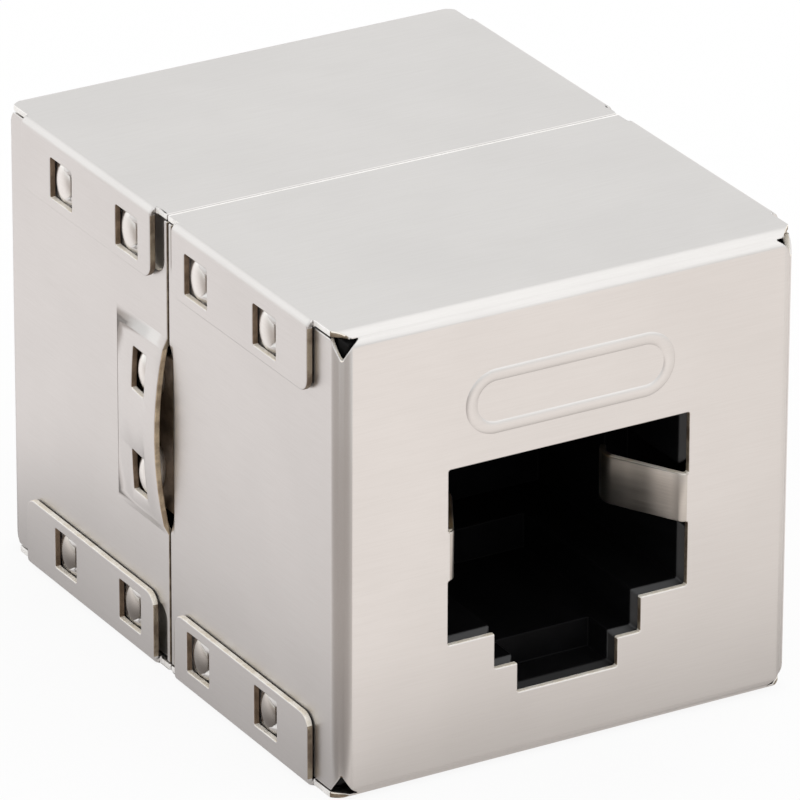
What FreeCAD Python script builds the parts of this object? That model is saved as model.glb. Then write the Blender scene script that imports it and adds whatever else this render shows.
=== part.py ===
import FreeCAD, Part
import math
import os
import re
import Sketcher

# A shielded network coupler: two folded sheet halves meet at a seam half way along, and each
# half holds a moulded jack whose contacts run back to one circuit board between the halves.
# Frame: X across, Y along (front face at -Y), Z up, origin under the middle of the case.
# Every size is in millimetres. The rear half is the front one turned half round about Z.

SIZES = {
    # the case
    "overall_width": 23.8,          # across the outer faces of the flaps
    "overall_height": 22.3,
    "overall_length": 30.4,
    "sheet": 0.3,                   # thickness of the folded sheet
    "face_bend": 0.77,              # outer radius where the face turns into the four walls
    "flap_bend": 0.38,              # outer radius where a lid turns down into its flap
    "seam_gap": 0.06,               # between the lids of the two halves
    "wall_seam": 0.16,              # between their side walls
    "lid_gap": 0.08,                # between a side wall's edge and the lid above it
    "flap_gap": 0.05,                # between a side wall and the flap over it
    "corner_cut": 0.6,              # from a corner of the box square to the lid's cut corner
    "notch_width": 1.2,             # of the V notch in the upright fold under that corner
    "notch_depth": 0.95,
    # the flaps and their windows
    "flap_depth": 3.45,
    "flap_front": 2.2,              # from the front face to the flap
    "flap_rear": 0.95,              # from the seam to the flap
    "flap_corner": 0.7,
    "window_length": 2.0,
    "window_height": 1.95,
    "window_edge": 1.0,             # from the top of the case to the window
    "window_first": 2.15,           # from the seam to the first window
    "window_pitch": 6.1,
    # the bumps of the side walls that snap into the windows
    "bump_radius": 1.05,
    "bump_rise": 0.32,
    # the round-ended channels pressed into the side walls at the seam
    "channel_width": 1.4,
    "channel_end": 3.0,             # from a lid down to the channel's round end
    "channel_land": 0.25,           # wall left between the channel and the seam
    "channel_floor": 0.1,           # sheet left under the channel
    # the pressed pocket of the rear half and the tongue of the front half inside it
    "pocket_height": 9.6,
    "pocket_length": 4.75,
    "pocket_rise": 0.25,
    "pocket_slope": 0.5,
    "pocket_bulge": 0.45,           # of the pocket's arched edge at the seam, over its rise
    "pocket_lift": 0.35,            # of the pocket's middle above the middle of the case
    "catch_length": 1.3,
    "catch_height": 2.0,
    "catch_first": 1.4,             # from the seam to the catch windows
    "catch_pitch": 5.0,
    "tongue_height": 7.6,
    "tongue_length": 4.0,
    "tongue_bow": 0.65,             # how far the tongue is bowed inwards
    "tongue_start": 0.45,           # from the seam to where the wall starts to turn in
    "button_radius": 0.75,
    "button_rise": 0.22,            # of the tongue's buttons above the side wall
    # the opening in the face
    "opening_top": 14.8,
    "opening_width": 12.2,
    "opening_height": 8.4,
    "step_width": 7.45,
    "step_height": 1.7,
    "key_width": 5.1,
    "key_height": 1.42,
    # the shield springs folded in at both sides of the opening
    "spring_height": 2.35,
    "spring_bottom": 9.5,
    "spring_bend": 0.3,
    "spring_lean": 29,              # degrees from straight back
    "spring_run": 3.35,
    "spring_curl": 0.9,
    "spring_curl_turn": 58,         # degrees
    "spring_tip": 0.5,
    # the moulded jack
    "jack_gap": 0.12,               # between the jack and the sheet around it
    "jack_wall": 0.9,               # behind the cavity
    "jack_chamfer": 0.6,            # on the jack's outer front edges
    "cavity_gap": 0.12,             # of the cavity's mouth inside the opening, a side
    "mouth_chamfer": 0.42,
    "key_depth": 1.95,
    "step_depth": 9.5,
    "spring_room": 1.25,            # sideways room for a spring in the cavity's wall
    "spring_room_length": 6.6,
    "spring_room_gap": 0.2,         # above and below the spring
    "tongue_room": 0.75,            # depth of the recess for the other half's tongue
    "tongue_room_gap": 0.3,         # round that tongue
    # the contact carrier in the roof of the jack
    "carrier_width": 10.6,
    "carrier_height": 2.3,
    "carrier_front": 2.4,           # from the face to the carrier's tongue
    "carrier_gap": 0.06,
    "carrier_plate": 1.0,           # thickness of the plate between the jack and the board
    "plate_width": 17.0,
    "plate_height": 15.0,
    "plate_bottom": 3.6,
    # the contacts
    "contact_count": 8,
    "contact_pitch": 1.02,
    "contact_width": 0.44,
    "contact_thickness": 0.3,
    "contact_side_gap": 0.06,
    "contact_reach": 3.7,           # from the face to where the contact turns back
    "contact_bend": 0.55,
    "contact_dip": 27,              # degrees below level of the returning leg
    "contact_leg": 5.6,
    "contact_pin": 0.6,             # how far the contact enters the board
    # the circuit board
    "board_width": 18.4,
    "board_height": 16.2,
    "board_bottom": 3.1,
    "board_thickness": 1.6,
}

# Derived places, written once.
FACE = "(-overall_length / 2)"
SIDE = "(overall_width / 2 - sheet - flap_gap)"         # outer face of a side wall
POCKET = "(overall_height / 2 + pocket_lift)"           # middle height of the pressed pocket
OPENING_LEFT = "(-opening_width / 2)"
STEP_TOP = "(opening_top - opening_height)"
KEY_TOP = "(opening_top - opening_height - step_height)"
KEY_BOTTOM = "(opening_top - opening_height - step_height - key_height)"
JACK_FRONT = "(-overall_length / 2 + sheet)"
JACK_REAR = "(-board_thickness / 2 - carrier_plate)"
JACK_SIDE = "(overall_width / 2 - 2 * sheet - flap_gap - jack_gap)"
JACK_BOTTOM = "(sheet + jack_gap)"
JACK_TOP = "(overall_height - sheet - jack_gap)"
CEILING = "(opening_top - cavity_gap)"
BOARD_FACE = "(-board_thickness / 2)"
CONTACT_TOP = "(opening_top - cavity_gap + 2 * contact_thickness)"

doc = FreeCAD.newDocument("inline_coupler")
sheet = doc.addObject("Spreadsheet::Sheet", "Dimensions")
for row, (name, size) in enumerate(SIZES.items(), 1):
    sheet.set(f"A{row}", name)
    sheet.set(f"B{row}", str(size))
    sheet.setAlias(f"B{row}", name)
doc.recompute()


def bound(text):
    """Point each size's name in an expression at its cell in the sheet."""
    def cell(match):
        word = match.group(0)
        return f"Dimensions.{word}" if word in SIZES else word
    return re.sub(r"[a-z_]+", cell, str(text))


def value(text):
    """The number that an expression gives."""
    return float(sheet.evalExpression(bound(text)))


def new_body(label):
    body = doc.addObject("PartDesign::Body", label)
    body.Label = label
    return body


def new_sketch(body, name, plane, offset="0"):
    """A sketch on one of the body's own planes, moved along that plane's normal."""
    sketch = body.newObject("Sketcher::SketchObject", name)
    support = next(item for item in body.Origin.OriginFeatures if item.Role == plane)
    sketch.AttachmentSupport = [(support, "")]
    sketch.MapMode = "FlatFace"
    sketch.setExpression("AttachmentOffset.Base.z", bound(offset))
    return sketch


def hold(sketch, kind, target, size):
    """Add one dimension whose size follows an expression."""
    numbers = math.radians(value(size)) if kind == "Angle" else value(size)
    index = sketch.addConstraint(Sketcher.Constraint(kind, *target, numbers))
    text = f"({bound(size)}) * 1 deg" if kind == "Angle" else bound(size)
    sketch.setExpression(f"Constraints[{index}]", text)


def arc_middle(start, end, radius, turn):
    """The middle of the arc from start to end; turn is 1 anticlockwise and -1 clockwise."""
    chord = end - start
    half = chord.Length / 2
    across = FreeCAD.Vector(chord.y, -chord.x, 0).normalize()
    rise = radius - math.sqrt(max(radius ** 2 - half ** 2, 0))
    return start + chord * 0.5 + across * (rise * turn)


def near_end(sketch, edge, spot):
    """Which end of a sketch edge lies at a spot: 1 its start, 2 its end."""
    first = sketch.getPoint(edge, 1)
    return 1 if (first - spot).Length < (sketch.getPoint(edge, 2) - spot).Length else 2


def loop(sketch, points, arcs=None):
    """A closed outline through points; arcs maps a side's number to its radius and turn."""
    arcs = arcs or {}
    spots = [FreeCAD.Vector(value(x), value(y), 0) for x, y in points]
    count = len(spots)
    edges = []
    for number, start in enumerate(spots):
        end = spots[(number + 1) % count]
        if number in arcs:
            radius, turn = arcs[number]
            middle = arc_middle(start, end, value(radius), turn)
            edges.append(sketch.addGeometry(Part.Arc(start, middle, end)))
        else:
            edges.append(sketch.addGeometry(Part.LineSegment(start, end)))
    for number, spot in enumerate(spots):
        before, edge = edges[number - 1], edges[number]
        here, there = near_end(sketch, edge, spot), near_end(sketch, before, spot)
        sketch.addConstraint(Sketcher.Constraint("Coincident", before, there, edge, here))
        hold(sketch, "DistanceX", (-1, 1, edge, here), points[number][0])
        hold(sketch, "DistanceY", (-1, 1, edge, here), points[number][1])
    for number, (radius, turn) in arcs.items():
        hold(sketch, "Radius", (edges[number],), radius)


def box_loop(sketch, left, right, bottom, top):
    loop(sketch, [(left, bottom), (right, bottom), (right, top), (left, top)])


def path(sketch, start, heading, steps):
    """An open chain of straight runs and tangent bends; steps are (length,) or (radius, turn)."""
    spot = FreeCAD.Vector(value(start[0]), value(start[1]), 0)
    angle = heading
    last = None
    for step in steps:
        way = FreeCAD.Vector(math.cos(math.radians(value(angle))), math.sin(math.radians(value(angle))), 0)
        if len(step) == 1:
            end = spot + way * value(step[0])
            edge = sketch.addGeometry(Part.LineSegment(spot, end))
        else:
            radius, turn = value(step[0]), math.radians(value(step[1]))
            side = math.copysign(1, turn)
            centre = spot + FreeCAD.Vector(-way.y, way.x, 0) * (radius * side)
            arm = spot - centre
            middle, end = [centre + FreeCAD.Rotation(FreeCAD.Vector(0, 0, 1), math.degrees(part))
                           .multVec(arm) for part in (turn / 2, turn)]
            edge = sketch.addGeometry(Part.Arc(spot, middle, end))
            angle = f"{angle} + ({step[1]})"
        here = near_end(sketch, edge, spot)
        if last is None:
            hold(sketch, "DistanceX", (-1, 1, edge, here), start[0])
            hold(sketch, "DistanceY", (-1, 1, edge, here), start[1])
        else:
            sketch.addConstraint(Sketcher.Constraint("Tangent", last[0], last[1], edge, here))
        if len(step) == 1:
            hold(sketch, "Distance", (edge,), step[0])
            hold(sketch, "Angle", (edge,), angle)
        else:
            hold(sketch, "Radius", (edge,), step[0])
        last = (edge, 3 - here)
        spot = end


def pad(body, name, sketch, length, backwards=False, both_ways=False):
    feature = body.newObject("PartDesign::Pad", name)
    feature.Profile = sketch
    feature.SideType = "Symmetric" if both_ways else "One side"
    feature.Reversed = backwards
    feature.setExpression("Length", bound(length))
    return feature


def pocket(body, name, sketch, length=None, backwards=False):
    """Cut a sketch's outline, to a depth or, with no length, through everything both ways."""
    feature = body.newObject("PartDesign::Pocket", name)
    feature.Profile = sketch
    if length is None:
        feature.SideType = "Two sides"
        feature.Type = "ThroughAll"
        feature.Type2 = "ThroughAll"
    else:
        feature.Reversed = backwards
        feature.setExpression("Length", bound(length))
    return feature


def loft(body, name, kind, sketches):
    feature = body.newObject(f"PartDesign::{kind}Loft", name)
    feature.Profile = sketches[0]
    feature.Sections = sketches[1:]
    return feature


def turned(body, name, kind, sketch, axis):
    """Turn an outline once round one of its sketch's axes."""
    feature = body.newObject(f"PartDesign::{kind}", name)
    feature.Profile = sketch
    feature.ReferenceAxis = (sketch, [axis])
    feature.Angle = 360
    return feature


def mirror_left_to_right(body):
    """Mirror all that is built so far across the middle plane."""
    doc.recompute()
    feature = body.newObject("PartDesign::Mirrored", "both_sides")
    feature.TransformMode = "Whole shape"
    plane = next(item for item in body.Origin.OriginFeatures if item.Role == "YZ_Plane")
    feature.MirrorPlane = (plane, [""])
    body.Tip = feature


def half_turn(body):
    """Put a piece built for the front half into the rear half."""
    body.Placement = FreeCAD.Placement(FreeCAD.Vector(), FreeCAD.Rotation(FreeCAD.Vector(0, 0, 1), 180))


def edges_of(feature, wanted):
    """The names of a feature's edges that a test accepts."""
    doc.recompute()
    return [f"Edge{number}" for number, edge in enumerate(feature.Shape.Edges, 1) if wanted(edge)]


def face_opening():
    """The stepped outline of the opening in the face: body, step and keyway of a plug."""
    half, step, key = "opening_width / 2", "step_width / 2", "key_width / 2"
    right = [(key, KEY_BOTTOM), (key, KEY_TOP), (step, KEY_TOP), (step, STEP_TOP), (half, STEP_TOP),
             (half, "opening_top")]
    return right + [(f"-{across}", level) for across, level in reversed(right)]


def fold_outline(near, far, low, high, radius):
    """A sheet folded over three sides of a box and open at far, with round corners at near."""
    inner = f"({radius} - sheet)"
    points = [
        (far, high), (f"{near} + {radius}", high), (near, f"{high} - {radius}"),
        (near, f"{low} + {radius}"), (f"{near} + {radius}", low), (far, low),
        (far, f"{low} + sheet"), (f"{near} + {radius}", f"{low} + sheet"),
        (f"{near} + sheet", f"{low} + {radius}"), (f"{near} + sheet", f"{high} - {radius}"),
        (f"{near} + {radius}", f"{high} - sheet"), (far, f"{high} - sheet"),
    ]
    arcs = {1: (radius, 1), 3: (radius, 1), 7: (inner, -1), 9: (inner, -1)}
    return points, arcs


def flap_outline(lid, down):
    """One lid's edge turned over the side wall; down is the sign that leads into the case."""
    def level(depth):
        return f"({lid} {'-' if down < 0 else '+'} {depth})"
    bend = "-(overall_width / 2 - flap_bend)"
    root = "-(overall_width / 2 - 2 * flap_bend)"
    outer, inner = "-overall_width / 2", "-overall_width / 2 + sheet"
    points = [(root, lid), (bend, lid), (outer, level("flap_bend")), (outer, level("flap_depth")),
              (inner, level("flap_depth")), (inner, level("flap_bend")), (bend, level("sheet")),
              (root, level("sheet"))]
    turn = -down
    return points, {1: ("flap_bend", turn), 5: ("flap_bend - sheet", -turn)}


def add_flaps(body):
    """The flaps of the top and the bottom lid, with their windows and rounded free corners."""
    sketch = new_sketch(body, "flap_section", "XZ_Plane", "flap_rear")
    for lid, down in (("overall_height", -1), ("0", 1)):
        loop(sketch, *flap_outline(lid, down))
    flaps = pad(body, "flaps", sketch, "overall_length / 2 - flap_front - flap_rear")

    corners = [(value(y), value(z))
               for y in (f"{FACE} + flap_front", "-flap_rear")
               for z in ("flap_depth", "overall_height - flap_depth")]

    def at_corner(edge):
        spots = [vertex.Point for vertex in edge.Vertexes]
        return any(all(abs(spot.y - y) < 1e-4 and abs(spot.z - z) < 1e-4 for spot in spots)
                   for y, z in corners)
    rounds = body.newObject("PartDesign::Fillet", "flap_corners")
    rounds.Base = (flaps, edges_of(flaps, at_corner))
    rounds.setExpression("Radius", bound("flap_corner"))

    sketch = new_sketch(body, "window_outline", "YZ_Plane")
    for low in ("window_edge", "overall_height - window_edge - window_height"):
        box_loop(sketch, "-window_first - window_length", "-window_first", low, f"{low} + window_height")
    windows = pocket(body, "windows", sketch)
    row = body.newObject("PartDesign::LinearPattern", "window_row")
    row.Originals = [windows]
    row.Direction = (sketch, ["H_Axis"])
    row.Reversed = True
    row.setExpression("Length", bound("window_pitch"))
    row.Occurrences = 2
    body.Tip = row


def add_walls(body):
    """The side wall, folded back from the face, and the round outer form of all the folds."""
    sketch = new_sketch(body, "wall_outline", "XY_Plane", "sheet + lid_gap")
    points = [("0", FACE), (f"-{SIDE} + face_bend", FACE), (f"-{SIDE}", f"{FACE} + face_bend"),
              (f"-{SIDE}", "-wall_seam / 2"), (f"-{SIDE} + sheet", "-wall_seam / 2"),
              (f"-{SIDE} + sheet", f"{FACE} + face_bend"), (f"-{SIDE} + face_bend", f"{FACE} + sheet"),
              ("0", f"{FACE} + sheet")]
    loop(sketch, points, {1: ("face_bend", -1), 5: ("face_bend - sheet", 1)})
    pad(body, "wall", sketch, "overall_height - 2 * (sheet + lid_gap)")

    sketch = new_sketch(body, "upright_round", "XY_Plane")
    loop(sketch, [(f"-{SIDE} - sheet", f"{FACE} - sheet"), (f"-{SIDE} + face_bend", f"{FACE} - sheet"),
                  (f"-{SIDE} + face_bend", FACE), (f"-{SIDE}", f"{FACE} + face_bend"),
                  (f"-{SIDE} - sheet", f"{FACE} + face_bend")], {2: ("face_bend", -1)})
    pocket(body, "upright_rounds", sketch)
    sketch = new_sketch(body, "level_round", "YZ_Plane")
    for lid, way, turn in (("overall_height", "+", -1), ("0", "-", 1)):
        inside = "-" if way == "+" else "+"
        loop(sketch, [(f"{FACE} - sheet", f"{lid} {way} sheet"), (f"{FACE} - sheet", f"{lid} {inside} face_bend"),
                      (FACE, f"{lid} {inside} face_bend"), (f"{FACE} + face_bend", lid),
                      (f"{FACE} + face_bend", f"{lid} {way} sheet")], {2: ("face_bend", turn)})
    pocket(body, "level_rounds", sketch)


def add_corner_reliefs(body):
    """Cut the lids' corners off and notch the upright folds under them, as a sheet needs to fold."""
    def at_corner(name):
        """A sketch upright at the box's front corner, square to the corner's diagonal."""
        sketch = new_sketch(body, name, "XZ_Plane", "overall_length / 2")
        turn = FreeCAD.Rotation(FreeCAD.Vector(0, 1, 0), -45)
        sketch.AttachmentOffset = FreeCAD.Placement(FreeCAD.Vector(), turn)
        sketch.setExpression("AttachmentOffset.Base.x", bound(f"-{SIDE}"))
        return sketch

    cut = at_corner("cut_corners")
    notch = at_corner("notch_outline")
    for lid, way, turn in (("overall_height", "-", 1), ("0", "+", -1)):
        under = f"({lid} {way} sheet)"
        outside = f"({lid} {way} -sheet)"
        low, high = (under, outside) if turn > 0 else (outside, under)
        box_loop(cut, "-notch_width", "notch_width", low, high)
        loop(notch, [("-notch_width / 2", under), ("0", f"{under} {way} notch_depth"),
                     ("notch_width / 2", under)])
    pocket(body, "corner_cuts", cut, "corner_cut")
    pocket(body, "corner_notches", notch, "1.5 * face_bend")


def add_opening(body):
    """The stepped opening in the face and the shield spring folded in at its side."""
    sketch = new_sketch(body, "opening_outline", "XZ_Plane", "overall_length / 2")
    loop(sketch, face_opening())
    pocket(body, "opening", sketch, "2 * sheet")

    root = f"({OPENING_LEFT} - sheet)"
    section = new_sketch(body, "spring_section", "YZ_Plane", root)
    box_loop(section, FACE, f"{FACE} + sheet", "spring_bottom", "spring_bottom + spring_height")
    spine = new_sketch(body, "spring_line", "XY_Plane", "spring_bottom + spring_height / 2")
    path(spine, (root, f"{FACE} + sheet / 2"), "0",
         [("sheet",), ("spring_bend", "90 - spring_lean"), ("spring_run",),
          ("spring_curl", "spring_curl_turn"), ("spring_tip",)])
    spring = body.newObject("PartDesign::AdditivePipe", "spring")
    spring.Profile = section
    spring.Spine = spine


def add_bump(body, name, middle_y, middle_z, radius, rise, seat):
    """A blunt round bump on the side wall: it stands rise out of the wall, its foot lies at seat."""
    sketch = new_sketch(body, f"{name}_section", "XY_Plane", middle_z)
    sketch.setExpression("AttachmentOffset.Base.y", bound(middle_y))
    foot, inside, tip = f"(-{SIDE} + {seat})", f"(-{SIDE} + {seat} + sheet / 2)", f"(-{SIDE} - {rise})"
    loop(sketch, [(tip, "0"), (tip, f"{radius} / 2"), (foot, radius), (inside, radius), (inside, "0")])
    return turned(body, name, "Revolution", sketch, "H_Axis")


def add_bumps(body):
    """Two bumps under each flap, which snap into its windows."""
    middle_y = "-(window_first + window_length / 2)"
    middles = (("low", "window_edge + window_height / 2"),
               ("high", "overall_height - window_edge - window_height / 2"))
    for name, middle_z in middles:
        bump = add_bump(body, f"{name}_bump", middle_y, middle_z, "bump_radius", "bump_rise", "0")
        row = body.newObject("PartDesign::LinearPattern", f"{name}_bump_row")
        row.Originals = [bump]
        row.Direction = (bump.Profile[0], ["V_Axis"])
        row.Reversed = True
        row.setExpression("Length", bound("window_pitch"))
        row.Occurrences = 2
        body.Tip = row


def add_channels(body):
    """Round-ended channels in the side wall's top and bottom edges, beside the seam."""
    sketch = new_sketch(body, "channel_outline", "YZ_Plane", f"-{SIDE}")
    radius = "channel_width / 2"
    near = "(-wall_seam / 2 - channel_land)"
    far = f"({near} - channel_width)"
    middle = f"({near} - {radius})"
    for edge, tip, way, turn in (
            ("overall_height - sheet - lid_gap", "(overall_height - channel_end)", "+", 1),
            ("sheet + lid_gap", "channel_end", "-", -1)):
        end = f"{tip} {way} {radius}"
        loop(sketch, [(far, edge), (far, end), (middle, tip), (near, end), (near, edge)],
             {1: (radius, turn), 2: (radius, turn)})
    pocket(body, "channels", sketch, "sheet - channel_floor", backwards=True)


def add_tongue(body):
    """The wall's edge is bowed inwards at mid height and runs on as a tongue with two buttons."""
    height = "(pocket_height - sheet)"
    low, high = f"({POCKET} - {height} / 2)", f"({POCKET} + {height} / 2)"
    bow_radius = f"({height} ^ 2 / 8 / tongue_bow + tongue_bow / 2)"
    outer, inner = f"(-{SIDE})", f"(-{SIDE} + sheet)"

    gap = new_sketch(body, "tongue_gap", "YZ_Plane", f"-{SIDE}")
    box_loop(gap, "-tongue_start", "0", low, high)
    pocket(body, "room_for_tongue", gap, "1.5 * sheet", backwards=True)
    flat = new_sketch(body, "tongue_root", "XZ_Plane", "tongue_start")
    box_loop(flat, outer, inner, low, high)
    bowed = new_sketch(body, "tongue_bend", "XZ_Plane", "wall_seam / 2")
    loop(bowed, [(outer, low), (inner, low), (inner, high), (outer, high)],
         {1: (bow_radius, 1), 3: (bow_radius, -1)})
    loft(body, "tongue_neck", "Additive", [flat, bowed])

    shy = f"(tongue_bow - {bow_radius} + sqrt({bow_radius} ^ 2 - tongue_height ^ 2 / 4))"
    low, high = f"({POCKET} - tongue_height / 2)", f"({POCKET} + tongue_height / 2)"
    section = new_sketch(body, "tongue_section", "XZ_Plane", "wall_seam / 2")
    loop(section, [(f"{outer} + {shy}", low), (f"{inner} + {shy}", low), (f"{inner} + {shy}", high),
                   (f"{outer} + {shy}", high)], {1: (bow_radius, 1), 3: (bow_radius, -1)})
    pad(body, "tongue", section, "tongue_length + wall_seam / 2", backwards=True)
    for name, side in (("low", "-"), ("high", "+")):
        add_bump(body, f"{name}_button", "catch_first + catch_length / 2",
                 f"{POCKET} {side} catch_pitch / 2", "button_radius", "button_rise", "tongue_bow * 0.6")


def add_pocket(body):
    """A pocket pressed outwards, with sloped borders, an arched edge at the seam and two windows."""
    def frame(name, depth, inset, end):
        sketch = new_sketch(body, name, "YZ_Plane", f"-{SIDE} {depth}")
        half = f"(pocket_height / 2 {inset})"
        box_loop(sketch, f"-(pocket_length {inset})", end, f"{POCKET} - {half}", f"{POCKET} + {half}")
        return sketch

    def arch(name, place, depth, bulge):
        sketch = new_sketch(body, name, "XZ_Plane", place)
        half = "(pocket_height / 2 - pocket_slope)"
        foot, edge = f"(-{SIDE} + {depth})", f"(-{SIDE} - pocket_rise + {depth})"
        loop(sketch, [(foot, f"{POCKET} - {half}"), (foot, f"{POCKET} + {half}"),
                      (edge, f"{POCKET} + {half}"), (edge, f"{POCKET} - {half}")],
             {2: (f"({half} ^ 2 / 2 / ({bulge}) + ({bulge}) / 2)", 1)})
        return sketch

    edge = "wall_seam / 2"
    far = "(pocket_length - pocket_slope)"
    for name, kind, seam, depth in (("pocket", "Additive", edge, "0"), ("inside", "Subtractive", "0", "sheet")):
        loft(body, name, kind, [frame(f"{name}_foot", f"+ {depth}", "", f"-{seam}"),
                                frame(f"{name}_top", f"- pocket_rise + {depth}", "- pocket_slope", f"-{seam}")])
        loft(body, f"{name}_arch", kind, [arch(f"{name}_near", seam, depth, "pocket_bulge"),
                                          arch(f"{name}_far", far, depth, "pocket_bulge / 20")])
    sketch = new_sketch(body, "catch_outline", "YZ_Plane", f"-{SIDE} - pocket_rise - pocket_bulge")
    for side in "-+":
        middle = f"({POCKET} {side} catch_pitch / 2)"
        box_loop(sketch, "-catch_first - catch_length", "-catch_first",
                 f"{middle} - catch_height / 2", f"{middle} + catch_height / 2")
    pocket(body, "catch_windows", sketch, "1.5 * sheet + pocket_bulge", backwards=True)


def make_shell(label, at_seam):
    """One half of the case, folded from a single blank."""
    body = new_body(label)
    sketch = new_sketch(body, "wrap_outline", "YZ_Plane")
    loop(sketch, *fold_outline(FACE, "-seam_gap / 2", "0", "overall_height", "face_bend"))
    pad(body, "wrap", sketch, SIDE, backwards=True)
    add_flaps(body)
    add_walls(body)
    add_corner_reliefs(body)
    add_opening(body)
    add_bumps(body)
    add_channels(body)
    at_seam(body)
    mirror_left_to_right(body)
    return body


def make_jack_body(label):
    """The moulded jack: the plug's stepped cavity with room for the springs and the carrier."""
    body = new_body(label)
    sketch = new_sketch(body, "block_outline", "XZ_Plane", f"-{JACK_FRONT}")
    box_loop(sketch, f"-{JACK_SIDE}", "0", JACK_BOTTOM, JACK_TOP)
    pad(body, "block", sketch, f"{JACK_REAR} - {JACK_FRONT}", backwards=True)

    levels = (("cavity", "opening_width", STEP_TOP, CEILING,
               f"{JACK_REAR} - {JACK_FRONT} - jack_wall"),
              ("step", "step_width", KEY_TOP, STEP_TOP, "step_depth"),
              ("keyway", "key_width", KEY_BOTTOM, KEY_TOP, "key_depth"))
    for name, width, low, high, depth in levels:
        sketch = new_sketch(body, f"{name}_outline", "XZ_Plane", f"-{JACK_FRONT}")
        box_loop(sketch, f"-({width} / 2 - cavity_gap)", "0", f"{low} + cavity_gap",
                 high if name == "cavity" else f"{high} + 2 * cavity_gap")
        pocket(body, name, sketch, depth)

    sketch = new_sketch(body, "spring_room_outline", "XZ_Plane", f"-{JACK_FRONT}")
    box_loop(sketch, f"{OPENING_LEFT} + cavity_gap - spring_room", "0", "spring_bottom - spring_room_gap",
             "spring_bottom + spring_height + spring_room_gap")
    pocket(body, "room_for_spring", sketch, "spring_room_length")
    sketch = new_sketch(body, "tongue_room_outline", "YZ_Plane", f"-{JACK_SIDE}")
    half = "(tongue_height / 2 + tongue_room_gap)"
    box_loop(sketch, "-tongue_length - tongue_room_gap", JACK_REAR, f"{POCKET} - {half}", f"{POCKET} + {half}")
    pocket(body, "room_for_tongue", sketch, "tongue_room", backwards=True)
    sketch = new_sketch(body, "carrier_room_outline", "XZ_Plane", f"-{JACK_REAR}")
    box_loop(sketch, "-carrier_width / 2 - carrier_gap", "0", CEILING, f"{CEILING} + carrier_height + carrier_gap")
    pocket(body, "room_for_carrier", sketch, f"{JACK_REAR} - {FACE} - carrier_front + carrier_gap", backwards=True)
    mirror_left_to_right(body)

    front = value(JACK_FRONT)
    outer = value(JACK_SIDE)
    low, high = value(JACK_BOTTOM), value(JACK_TOP)

    def on_front(edge):
        return all(abs(vertex.Y - front) < 1e-4 for vertex in edge.Vertexes)

    def on_rim(edge):
        middle = edge.BoundBox.Center
        return (abs(abs(middle.x) - outer) < 1e-4 or abs(middle.z - low) < 1e-4
                or abs(middle.z - high) < 1e-4)
    for name, size, wanted in (("rim_chamfer", "jack_chamfer", lambda edge: on_front(edge) and on_rim(edge)),
                               ("mouth_chamfer", "mouth_chamfer",
                                lambda edge: on_front(edge) and not on_rim(edge))):
        base = body.Tip
        chamfer = body.newObject("PartDesign::Chamfer", name)
        chamfer.Base = (base, edges_of(base, wanted))
        chamfer.setExpression("Size", bound(size))
    return body


def make_carrier(label):
    """The contact carrier: a grooved tongue in the jack's roof and a plate against the board."""
    body = new_body(label)
    front = f"({FACE} + carrier_front)"
    sketch = new_sketch(body, "roof_outline", "XZ_Plane", f"-{front}")
    box_loop(sketch, "-carrier_width / 2", "carrier_width / 2", CEILING, f"{CEILING} + carrier_height")
    pad(body, "roof_tongue", sketch, f"{BOARD_FACE} - {front}", backwards=True)
    sketch = new_sketch(body, "plate_outline", "XZ_Plane", f"-{JACK_REAR}")
    box_loop(sketch, "-plate_width / 2", "plate_width / 2", "plate_bottom", "plate_bottom + plate_height")
    pad(body, "plate", sketch, f"{BOARD_FACE} - {JACK_REAR}", backwards=True)

    sketch = new_sketch(body, "groove_outline", "XZ_Plane", f"-{BOARD_FACE}")
    half = "(contact_width / 2 + contact_side_gap)"
    box_loop(sketch, f"{contact_place(1)} - {half}", f"{contact_place(1)} + {half}", CEILING, CONTACT_TOP)
    groove = pocket(body, "groove", sketch, f"{BOARD_FACE} - {FACE} - contact_reach + contact_thickness",
                    backwards=True)
    repeat_per_contact(body, groove, sketch)
    return body


def contact_place(number):
    """Where contact 1, 2, 3 ... stands across the jack."""
    return f"(contact_pitch * ({number} - (contact_count + 1) / 2))"


def repeat_per_contact(body, feature, sketch):
    row = body.newObject("PartDesign::LinearPattern", f"{feature.Name}_row")
    row.Originals = [feature]
    row.Direction = (sketch, ["H_Axis"])
    row.setExpression("Length", bound("contact_pitch * (contact_count - 1)"))
    row.setExpression("Occurrences", bound("contact_count"))
    body.Tip = row


def make_contact(label, number):
    """One spring contact: from its pin in the board along the roof, then bent back and down."""
    body = new_body(label)
    pin = f"({BOARD_FACE} + contact_pin)"
    across = contact_place(number)
    section = new_sketch(body, "contact_section", "XZ_Plane", f"-{pin}")
    box_loop(section, f"{across} - contact_width / 2", f"{across} + contact_width / 2",
             f"{CONTACT_TOP} - contact_thickness", CONTACT_TOP)
    spine = new_sketch(body, "contact_line", "YZ_Plane", across)
    path(spine, (pin, f"{CONTACT_TOP} - contact_thickness / 2"), "180",
         [(f"{pin} - {FACE} - contact_reach - contact_bend",), ("contact_bend", "180 - contact_dip"),
          ("contact_leg",)])
    wire = body.newObject("PartDesign::AdditivePipe", "wire")
    wire.Profile = section
    wire.Spine = spine
    return body


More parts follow.
